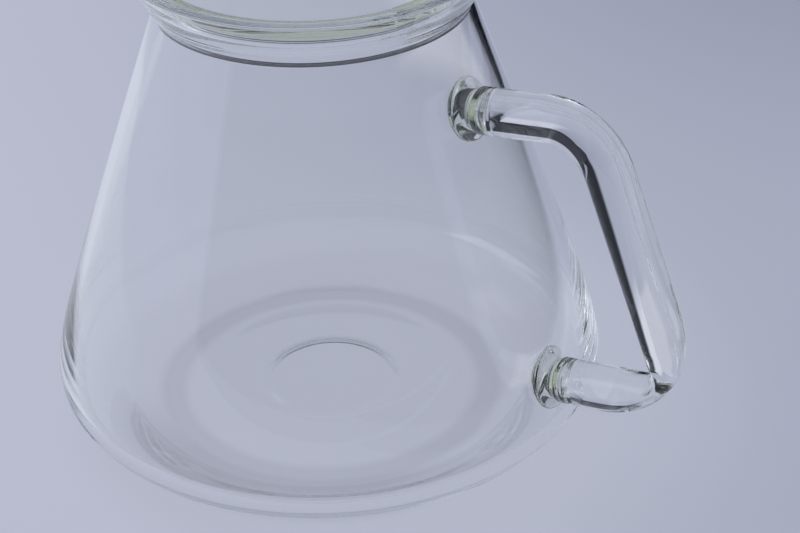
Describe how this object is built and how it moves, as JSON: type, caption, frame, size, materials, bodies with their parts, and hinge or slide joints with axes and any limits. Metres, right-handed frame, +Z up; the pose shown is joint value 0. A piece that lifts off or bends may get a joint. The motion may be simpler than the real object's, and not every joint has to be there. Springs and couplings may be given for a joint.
{
  "type": "coffee server",
  "caption": "Conical clear glass coffee server with a flared collar, a bent glass rod handle fused to the wall and a clear lift-off lid with pouring notches.",
  "frame": {"origin": "the middle of the ring that the server stands on, in the plane of the table", "axes": "+Z up along the vessel's axis, +X from the axis towards the handle, +Y completes the right hand"},
  "size_m": [0.1531, 0.125, 0.112],
  "materials": {
    "clear_glass": "clear, fire-polished, 2 mm thick in the body",
    "weld_glass": "clear with a faint green cast where the glass is thick",
    "clear_resin": "clear glossy resin with a faint yellow-green edge"
  },
  "bodies": {
    "vessel": {"glass_body": "clear_glass", "handle": "clear_glass", "upper_weld": "weld_glass", "lower_weld": "weld_glass"},
    "lid": {"lid": "clear_resin"}
  },
  "joints": [
    {"name": "lid_lift", "type": "slide", "parent": "vessel", "child": "lid", "axis": [0, 0, 1], "range_m": [0, 0.04]}
  ]
}
